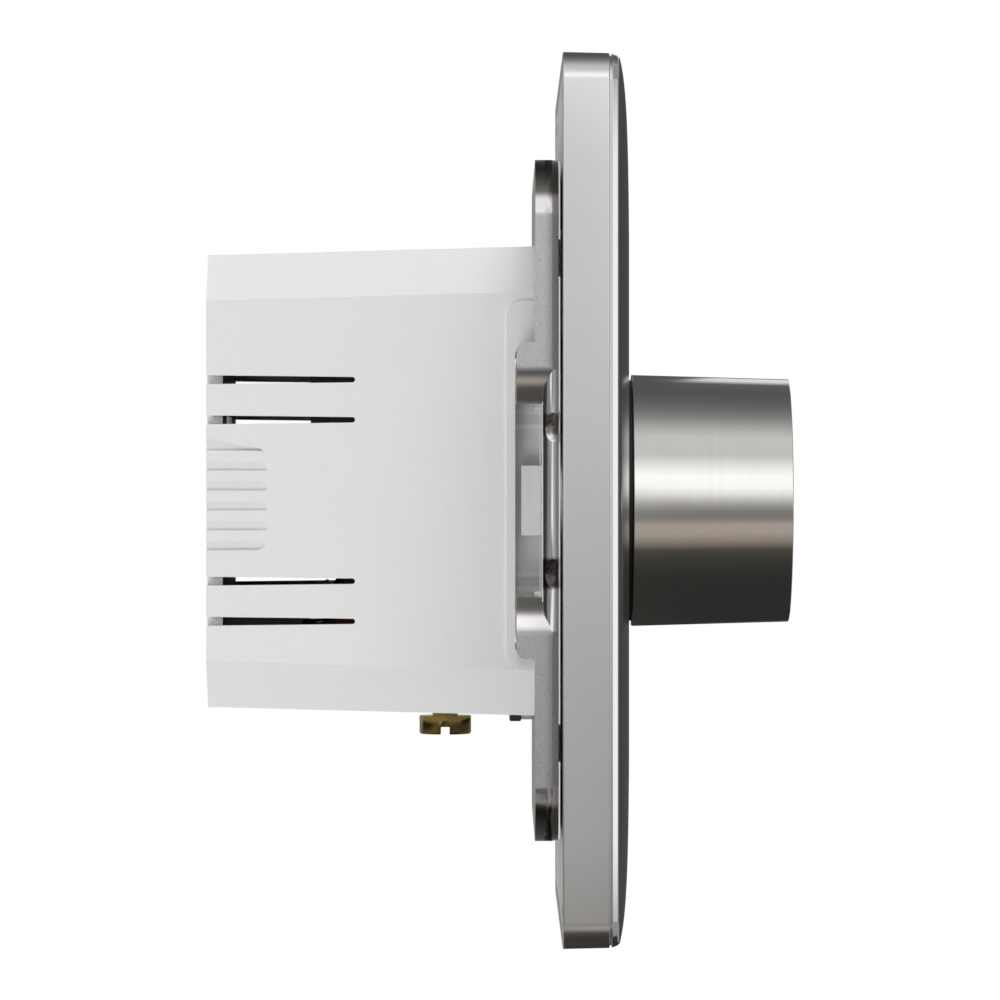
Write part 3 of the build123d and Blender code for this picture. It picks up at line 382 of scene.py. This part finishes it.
def jambPaintedLight(tree, height, z):
    # the jambs' painted reflection and shade: a matt colour by height, with one ramp above the middle and
    # one below
    low, high = alloy["jambZ"]
    share = shareOf(tree, height, low * mm, high * mm)
    lower = shadeByShare(tree, share, lowerJambPaintedLight)
    upper = shadeByShare(tree, share, upperJambPaintedLight)
    shade = mixColor(tree, isAbove(tree, z, 0.0), lower, upper)
    return addNode(tree, "ShaderNodeBsdfPrincipled",
                   {"Base Color": shade, "Roughness": alloy["jambRough"],
                    "Specular IOR Level": alloy["jambSpecular"]})


def onJamb(tree, side, height, y):
    # 1 on the jambs: between two heights, and outside the round rail, by the distance from the rail's axis
    low, high = alloy["jambZ"]
    acrossX = mathNode(tree, "SUBTRACT", side, alloy["railX"] * mm)
    acrossY = mathNode(tree, "SUBTRACT", y, alloy["railY"] * mm)
    squared = mathNode(tree, "ADD", product(tree, acrossX, acrossX), product(tree, acrossY, acrossY))
    beyond = mathNode(tree, "GREATER_THAN", squared, (alloy["railR"] * mm) ** 2)
    return product(tree, beyond, isAbove(tree, height, low), isBelow(tree, height, high),
                   isAbove(tree, side, alloy["jambX"]))


def castAlloy():
    material, tree, shader = newMaterial("dieCasting")
    point = objectPlace(tree)
    y = point["Y"]
    z = point["Z"]
    side = mathNode(tree, "ABSOLUTE", point["X"])
    height = mathNode(tree, "ABSOLUTE", z)
    inMouth = isBelow(tree, height, alloy["mouthZ"])
    onSide = isBelow(tree, y, alloy["rearY"])
    inCorner = product(tree, stepAlong(tree, height, *alloy["cornerZ"]), onSide)
    paintedShadeAtEnd = product(tree, stepAlong(tree, height, *alloy["shadedEndZ"]), onSide)
    polished = mathNode(tree, "MAXIMUM", inMouth, inCorner)
    color = mixColor(tree, polished, castSkin(tree), alloy["polish"])
    # painted shade: the corners' ends darkened
    color = mixColor(tree, paintedShadeAtEnd, color, alloy["end"])
    # painted shade in the rail's two dips
    for span, shade in alloy["dips"]:
        color = mixColor(tree, dipShadeAt(tree, side, z, span), color, shade)
    # painted shade on the strip towards the front edge
    color = mixColor(tree, frontStripShade(tree, y, inMouth), color, alloy["strip"], "MULTIPLY")
    shader.inputs["Metallic"].default_value = 1.0
    setInput(tree, shader.inputs["Base Color"], color)
    rough = levelBy(tree, polished, alloy["roughCast"], alloy["roughPolish"])
    setInput(tree, shader.inputs["Roughness"], rough)
    grain = objectNoise(tree, alloy["grain"], alloy["grainDetail"])
    addBump(tree, shader, product(tree, grain, mathNode(tree, "SUBTRACT", 1.0, polished)), alloy)
    # the jambs take the matt shader that carries their painted reflections and shade
    mixShaders(tree, onJamb(tree, side, height, y), shader, jambPaintedLight(tree, height, z))
    return material


def clearMoulding():
    # clear tray: milky and a tenth see-through, with painted highlights in bands by height where its wall
    # steps
    look = {"reach": 10.0, "rough": 0.15, "alpha": 0.9, "ior": 2.0}
    highlightBands = {0: 0.90, 0.70: 0.84, 0.725: 0.95, 0.75: 1.0, 0.775: 0.76, 0.85: 0.80, 0.88: 1.0, 1: 1.0}
    material, tree, shader = newMaterial("clearMoulding")
    height = mathNode(tree, "ABSOLUTE", objectPlace(tree)["Z"])
    share = shareOf(tree, height, 0.0, look["reach"] * mm)
    setInput(tree, shader.inputs["Base Color"], shadeByShare(tree, share, highlightBands))
    shader.inputs["Roughness"].default_value = look["rough"]
    shader.inputs["IOR"].default_value = look["ior"]
    shader.inputs["Alpha"].default_value = look["alpha"]
    return material


def lidMoulding():
    # the white moulding, with the lid's inner face painted dark as the shade inside the housing
    look = {"outer": (0.86, 0.86, 0.85), "inner": (0.03, 0.03, 0.028), "frontY": 33.86, "rough": 0.45,
            "grain": 3000, "grainDetail": 2.0, "bump": 0.05, "depth": 0.00002}
    material, tree, shader = newMaterial("lidMoulding")
    # painted shade: the lid's inner face, inside the housing, is dark
    shadedInside = isBelow(tree, objectPlace(tree)["Y"], look["frontY"])
    setInput(tree, shader.inputs["Base Color"], mixColor(tree, shadedInside, look["outer"], look["inner"]))
    shader.inputs["Roughness"].default_value = look["rough"]
    addBump(tree, shader, objectNoise(tree, look["grain"], look["grainDetail"]), look)
    return material


materials = {name: finishOf(name, changes) for name, changes in looks.items()}
materials["dieCasting"] = castAlloy()
materials["clearMoulding"] = clearMoulding()
materials["lidMoulding"] = lidMoulding()

nodeFinish = {
    "side_frame": "satinFrame", "trim_ring": "brightTrim", "front_panel": "darkPanel",
    "plate_back": "greyMoulding", "clip_carrier": "litWhiteMoulding", "housing": "whiteMoulding",
    "rear_lid": "lidMoulding", "yoke": "dieCasting", "clear_insulator": "clearMoulding",
    "latch_block": "blackMoulding", "knob_hub": "blackMoulding", "knob_skirt": "blackMoulding",
    "terminal_block": "blackMoulding", "rotor": "blackMoulding", "knob_shell": "satinKnob",
    "pointer_mark": "markFill", "housing_screws": "steel", "latch_tongue": "steel", "knob_spring": "steel",
    "shaft": "steel", "bushing_washer": "steel", "pot_can": "zincCan", "triac_screw": "steel",
    "fuse_caps": "steel", "earth_screw": "shadedBrass", "earth_terminal": "brass", "wiper": "brass",
    "bushing": "brass", "bushing_nut": "brass", "terminal_clamps": "brass", "terminal_screws": "brass",
    "pot_track": "phenolic", "switch_body": "phenolic", "circuit_board": "board",
    "film_capacitor": "capacitorCase", "timing_capacitor": "capacitorCase", "choke_core": "ferrite",
    "choke_winding": "copperWire", "triac": "deviceBody", "heat_sink": "sink", "fuse_tube": "fuseGlass",
    "diac": "fuseGlass", "resistors": "resistorBody",
}
for nodeName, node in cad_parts.items():
    node.data.materials.clear()
    node.data.materials.append(materials[nodeFinish[nodeName]])


def softenNode(nodeName, width, merge=0.002, segments=2, angle=30):
    # merge the node's loose triangles, round its edges a little and shade it smooth between them
    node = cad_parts[nodeName]
    weld = node.modifiers.new("merge", "WELD")
    weld.merge_threshold = merge * mm
    bevel = node.modifiers.new("edges", "BEVEL")
    bevel.width = width * mm
    bevel.segments = segments
    bevel.limit_method = "ANGLE"
    bevel.angle_limit = math.radians(angle)
    bevel.harden_normals = True


softened = {
    "rear_lid": 0.05, "yoke": 0.1, "clip_carrier": 0.05, "plate_back": 0.05, "earth_screw": 0.02,
    "latch_tongue": 0.08, "latch_block": 0.08, "clear_insulator": 0.12,
}
for nodeName, width in softened.items():
    softenNode(nodeName, width)
print("materials set")


# wall plate and knob, in millimetres

def buildSideFrame():
    # closed section carried round a rounded square: drafted side, front ledge, inner wall, rear rim
    size = {"half": 43.0, "corner": 2.7, "innerCorner": 0.6, "front": -4.5, "draft": 1.3, "wall": 1.6,
            "ledge": 0.9, "ledgeWide": 2.4, "edge": 0.12}
    lean = -size["front"] * math.tan(math.radians(size["draft"]))
    inner = size["wall"]
    window = inner + size["ledgeWide"]
    ledgeY = size["front"] + size["ledge"]
    corners = [(0.0, 0.0), (lean, size["front"]), (window, size["front"]), (window, ledgeY),
               (inner, ledgeY), (inner, 0.0)]
    rows = roundedRows(corners, size["edge"])
    points = np.stack([squareRing(size["half"] - a, max(size["corner"] - a, size["innerCorner"]), y)
                       for a, y in rows])
    piece = gridMesh("side_frame_skin", points, closeRows=True)
    piece.data.materials.append(materials["satinFrame"])
    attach(piece, "regulator")
    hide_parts("side_frame")
    return piece


def buildTrimRing():
    # bright ring: a gently crowned band over a narrower foot that leaves the seam behind it
    size = {"half": 42.88, "corner": 2.7, "front": -5.4, "rear": -4.7, "frameFront": -4.5, "bevel": 0.15,
            "foot": 0.22, "band": 1.3, "edge": 0.05, "crown": 0.2, "edgeSteps": 4}
    corners = [(size["foot"], size["frameFront"]), (size["foot"], size["rear"]), (0.0, size["rear"]),
               (size["crown"], size["front"] + size["bevel"]),
               (size["crown"] + size["bevel"], size["front"]),
               (size["band"], size["front"]), (size["band"], size["frameFront"])]
    rows = roundedRows(corners, size["edge"], size["edgeSteps"])
    points = np.stack([squareRing(size["half"] - a, size["corner"] - a, y) for a, y in rows])
    piece = gridMesh("trim_ring_bright", points, closeRows=True)
    piece.data.materials.append(materials["brightTrim"])
    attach(piece, "regulator")
    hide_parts("trim_ring")
    return piece


def buildFrontPanel():
    # dark domed face: rings of a rounded square that rise along a curve, then flat rings that turn into the
    # knob's hole, and a plug behind that fits inside the trim ring
    size = {"half": 42.5, "corner": 2.3, "rearY": -4.5, "seatY": -5.4, "edgeY": -5.47, "frontY": -6.53,
            "reach": 9.5, "turn": 1.5, "fall": 0.48, "ease": 4.0, "easeFall": 0.2, "grow": 0.7,
            "hole": 7.5, "plug": 41.48, "plugCorner": 1.4, "domeSteps": 26, "flatSteps": 14}
    dome = bezier([(0, size["edgeY"]), (size["turn"], size["edgeY"] - size["fall"]),
                   (size["ease"], size["frontY"] + size["easeFall"]), (size["reach"], size["frontY"])],
                  size["domeSteps"])
    rings = [squareRing(size["plug"], size["plugCorner"], y) for y in (size["rearY"], size["seatY"])]
    rings.append(squareRing(size["half"], size["corner"], size["seatY"]))
    rings += [squareRing(size["half"] - a, size["corner"] + size["grow"] * a, y) for a, y in dome]
    last = rings[-1]
    angle = np.arctan2(last[:, 2], last[:, 0])
    circle = np.stack([size["hole"] * np.cos(angle), last[:, 1], size["hole"] * np.sin(angle)], -1)
    rings += [last + (circle - last) * t for t in np.linspace(0, 1, size["flatSteps"])[1:]]
    rings.append(circle + np.array([0, size["rearY"] - size["frontY"], 0]))
    piece = gridMesh("front_panel_dome", np.stack(rings), closeRows=True)
    piece.data.materials.append(materials["darkPanel"])
    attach(piece, "regulator")
    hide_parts("front_panel")
    return piece


def buildKnobCap():
    # turned cap: tapered wall with a soft front edge, a face dished by a hair, and a thin wall open to the
    # rear; the face's middle is drawn in until it all but closes
    size = {"rearR": 12.9, "frontR": 12.45, "rearY": -7.43, "frontY": -23.55, "wall": 0.9, "face": 1.0,
            "edge": 0.1, "edgeSteps": 7, "dish": 0.04, "rim": 1.2, "eye": 0.4, "eyeReach": 0.6,
            "drawIn": 0.05}
    innerY = size["frontY"] + size["face"]
    dishY = size["frontY"] + size["dish"]
    corners = [(size["rearR"] - size["wall"], size["rearY"]), (size["rearR"], size["rearY"]),
               (size["frontR"], size["frontY"]), (size["frontR"] - size["rim"], dishY),
               (size["eye"], dishY), (size["eye"], innerY), (size["frontR"] - size["wall"], innerY)]
    profile = roundedRows(corners, size["edge"], size["edgeSteps"])
    middle = profile[:, 0] < size["eyeReach"]
    profile[middle, 0] *= size["drawIn"]
    piece = revolved("knob_cap", profile)
    piece.data.materials.append(materials["satinKnob"])
    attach(piece, "knob")
    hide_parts("knob_shell")
    return piece


buildSideFrame()
buildTrimRing()
buildFrontPanel()
buildKnobCap()
print("plate and knob built")


# surroundings: floor and world, in metres

def seenAs(tree, *rays):
    # 1 for the kinds of ray that are named, else 0
    path = tree.nodes.new("ShaderNodeLightPath")
    total = path.outputs[rays[0]]
    for ray in rays[1:]:
        total = mathNode(tree, "MAXIMUM", total, path.outputs[ray])
    return total


def buildFloor():
    # a pale floor well below the part, pure white where it is seen or reflected
    size = {"reach": 6.0, "low": -0.6, "shade": 0.8, "rough": 0.9, "glow": 1.0}
    reach, low = size["reach"], size["low"]
    corners = [(-reach, -reach, low), (reach, -reach, low), (reach, reach, low), (-reach, reach, low)]
    floor = flatBoard("floor", corners)
    material, tree, shader = newMaterial("paleFloor")
    shader.inputs["Base Color"].default_value = rgba(size["shade"])
    shader.inputs["Roughness"].default_value = size["rough"]
    glow = addNode(tree, "ShaderNodeEmission", {"Strength": size["glow"]})
    mixShaders(tree, seenAs(tree, "Is Camera Ray", "Is Glossy Ray"), shader, glow)
    floor.data.materials.append(material)


def buildWorld():
    # white where it is seen, reflected or shone through, and a plain level as light
    level = {"light": 0.29, "seen": 1.0}
    world = bpy.data.worlds.new("studio")
    bpy.context.scene.world = world
    world.use_nodes = True
    tree = world.node_tree
    back = tree.nodes["Background"]
    back.inputs["Color"].default_value = rgba(1)
    seen = seenAs(tree, "Is Camera Ray", "Is Glossy Ray", "Is Transmission Ray")
    setInput(tree, back.inputs["Strength"], levelBy(tree, seen, level["light"], level["seen"]))


# what the glossy pieces reflect: a round tent about the Y axis and a card across each end, in millimetres

tent = {"radius": 450.0, "frontY": -250.0, "rearY": 320.0, "steps": 96, "greyY": (225.0, 255.0),
        "grey": 0.35}
# the tent's shades by degrees of height above the camera's side, for what the knob reflects
knobShades = {
    -180: (0.095, 0.095, 0.093), -170: (0.10, 0.10, 0.098), -158: (0.028, 0.027, 0.026),
    -76: (0.031, 0.03, 0.028), -65: (0.039, 0.037, 0.033), -55: (0.05, 0.048, 0.042),
    -46: (0.075, 0.065, 0.055), -38: (0.27, 0.236, 0.207), -30: (0.41, 0.356, 0.318),
    -22: (0.42, 0.368, 0.327), -17: (0.225, 0.213, 0.188), -10: (0.215, 0.21, 0.20),
    -5: (0.345, 0.338, 0.33), 0: (0.55, 0.54, 0.53), 5: (0.85, 0.84, 0.83), 12: (1.15, 1.14, 1.13),
    22: (1.17, 1.16, 1.15),
    33: (0.88, 0.87, 0.86), 42: (0.62, 0.61, 0.60), 60: (0.64, 0.63, 0.62), 70: (0.47, 0.465, 0.46),
    82: (0.26, 0.255, 0.25), 92: (0.175, 0.173, 0.17), 102: (0.13, 0.128, 0.126), 118: (0.10, 0.098, 0.095),
    140: (0.12, 0.12, 0.118), 149: (0.75, 0.75, 0.74), 162: (0.8, 0.8, 0.79), 168: (0.09, 0.09, 0.088),
    180: (0.095, 0.095, 0.093),
}
# the same for the plate's side
plateShades = {
    -180: (0.03, 0.029, 0.028), -76: (0.04, 0.038, 0.034), -60: (0.05, 0.048, 0.041),
    -46: (0.06, 0.056, 0.048), -38: (0.26, 0.25, 0.215), -30: (0.44, 0.425, 0.385), -22: (0.37, 0.355, 0.32),
    -15: (0.35, 0.345, 0.325), -8.4: (0.57, 0.565, 0.555), -4: (0.53, 0.525, 0.52), 0: (0.55, 0.545, 0.54),
    6: 0.60, 10: 0.60, 18: 1.25, 25: 1.25, 33: 0.88, 42: 0.64, 60: 0.55, 70: 0.42, 82: 0.26, 92: 0.175,
    102: 0.13, 118: 0.10, 180: 0.08,
}
# the same for the yoke's recesses
jambShades = {
    -180: 0.2, -147: 0.09, -123: 0.05, -92: (0.07, 0.066, 0.058), -68: (0.09, 0.084, 0.075),
    -57: (0.20, 0.18, 0.165), -47: (0.37, 0.345, 0.31), -38: (0.31, 0.285, 0.255), -27: (0.14, 0.135, 0.122),
    -18: (0.08, 0.078, 0.075), -8: 0.15, -3: 0.32, 0: 0.5, 9: 0.6, 18: 0.9, 27: 1.1, 47: 1.12, 57: 0.8,
    68: 0.36, 79: (0.15, 0.135, 0.13), 92: (0.10, 0.085, 0.072), 106: (0.07, 0.062, 0.05),
    147: (0.055, 0.055, 0.045), 180: 0.1,
}
# the same for the yoke's edges that face the rear
rearShades = {
    -180: 0.3, -100: 0.2, -60: 0.05, -44: (0.08, 0.075, 0.065), -32: (0.26, 0.245, 0.22), -20: 0.12,
    -12: 0.12, -6: 0.2, -3: 0.7, 0: 1.05, 5: 0.95, 20: 0.95, 45: 0.9, 65: 0.35, 100: 0.1, 140: 0.2, 180: 0.3,
}
# where along Y the tent turns from one set of shades to the next
turnsTo = [(plateShades, -36.0, -31.0), (jambShades, -4.0, -2.0), (rearShades, 8.0, 18.0)]


def glowMaterial(name):
    # a material that only glows
    material = bpy.data.materials.new(name)
    material.use_nodes = True
    tree = material.node_tree
    tree.nodes.clear()
    glow = tree.nodes.new("ShaderNodeEmission")
    addNode(tree, "ShaderNodeOutputMaterial", {"Surface": glow.outputs[0]})
    return material, tree, glow


def seenByGlossOnly(piece):
    piece.visible_camera = False
    piece.visible_diffuse = False
    piece.visible_transmission = False
    piece.visible_shadow = False


def buildReflector():
    # two rings of points: x = -r cos, z = r sin; the shade follows the angle round the axis and the place
    # along it
    angle = np.radians(np.linspace(-180, 180, tent["steps"], endpoint=False))
    x = -tent["radius"] * np.cos(angle)
    z = tent["radius"] * np.sin(angle)
    ends = [np.stack([x, np.full(angle.size, y), z], -1) for y in (tent["frontY"], tent["rearY"])]
    piece = gridMesh("reflector", np.stack(ends))
    material, tree, glow = glowMaterial("reflector")
    point = objectPlace(tree)
    along = point["Y"]
    turned = mathNode(tree, "ARCTAN2", point["Z"], mathNode(tree, "MULTIPLY", point["X"], -1.0))
    share = shareOf(tree, turned, -math.pi, math.pi)
    color = shadeByTurn(tree, share, knobShades)
    for shades, low, high in turnsTo:
        color = mixColor(tree, stepAlong(tree, along, low, high), color, shadeByTurn(tree, share, shades))
    color = mixColor(tree, stepAlong(tree, along, *tent["greyY"]), color, tent["grey"])
    setInput(tree, glow.inputs["Color"], color)
    piece.data.materials.append(material)
    seenByGlossOnly(piece)


cardSize = {"half": 460.0, "offZ": (50.0, 110.0)}
cards = {
    "rearCard": {"y": 322.0, "around": 0.4,
                 "stops": [(-270.0, 0.26), (-110.0, 0.04), (120.0, 0.04), (340.0, 0.75)]},
    "frontCard": {"y": -252.0, "around": 0.3, "stops": [(-250.0, 1.0), (-180.0, 0.15), (200.0, 0.15)]},
}


def buildCard(name, card):
    # an upright board across one end of the tent: its greys blend from stop to stop along X, and far above
    # and below the middle height they turn to one plain grey
    half = cardSize["half"] * mm
    across = card["y"] * mm
    corners = [(-half, across, -half), (half, across, -half), (half, across, half), (-half, across, half)]
    board = flatBoard(name, corners)
    material, tree, glow = glowMaterial(name)
    point = objectPlace(tree)
    stops = card["stops"]
    color = stops[0][1]
    for (low, _), (high, shade) in zip(stops, stops[1:]):
        color = mixColor(tree, stepAlong(tree, point["X"], low, high), color, shade)
    off = stepAlong(tree, mathNode(tree, "ABSOLUTE", point["Z"]), *cardSize["offZ"])
    setInput(tree, glow.inputs["Color"], mixColor(tree, off, color, card["around"]))
    board.data.materials.append(material)
    seenByGlossOnly(board)


# lamps and camera, in metres

lamps = {
    "highLamp": {"place": (-0.62, -0.15, 1.21), "level": 0.61, "width": 0.7},
    "lowLamp": {"place": (-0.52, 0.30, -0.48), "level": 0.40, "width": 0.4},
    "rearLamp": {"place": (-0.35, 1.35, 0.25), "level": 0.22, "width": 0.6},
    "farHighLamp": {"place": (0.62, 0.55, 1.15), "level": 0.5, "width": 0.7},
    "farLowLamp": {"place": (0.75, 0.3, -0.45), "level": 0.4, "width": 0.5},
    "frontLamp": {"place": (0.3, -1.3, 0.5), "level": 0.4, "width": 0.8},
}
view = {"lens": 209.4, "sensor": 36.0, "shift": (-0.0055, 0.0005), "place": (-0.598, 0.005477, 0.0),
        "turn": (90, 0, -90)}


def addLamp(name, place, level, width):
    # a square lamp aimed at the origin; level is the brightness that it gives a white face square to it, and
    # its power is that level times the square of pi times the distance
    direction = -Vector(place)
    data = bpy.data.lights.new(name, "AREA")
    data.energy = level * (math.pi * direction.length) ** 2
    data.size = width
    lamp = linked(name, data)
    lamp.location = place
    lamp.rotation_euler = direction.to_track_quat("-Z", "Y").to_euler()
    lamp.visible_glossy = False


def buildCamera():
    # the photograph's viewpoint: square on to the side, about 0.6 m from the knob's axis
    data = bpy.data.cameras.new("view")
    data.lens = view["lens"]
    data.sensor_width = view["sensor"]
    data.shift_x, data.shift_y = view["shift"]
    camera = linked("view", data)
    camera.location = view["place"]
    camera.rotation_euler = [math.radians(degrees) for degrees in view["turn"]]
    bpy.context.scene.camera = camera


buildFloor()
buildWorld()
buildReflector()
for cardName, card in cards.items():
    buildCard(cardName, card)
for lampName, lamp in lamps.items():
    addLamp(lampName, **lamp)
buildCamera()
bpy.context.scene.view_settings.view_transform = "Standard"
print("stage set")
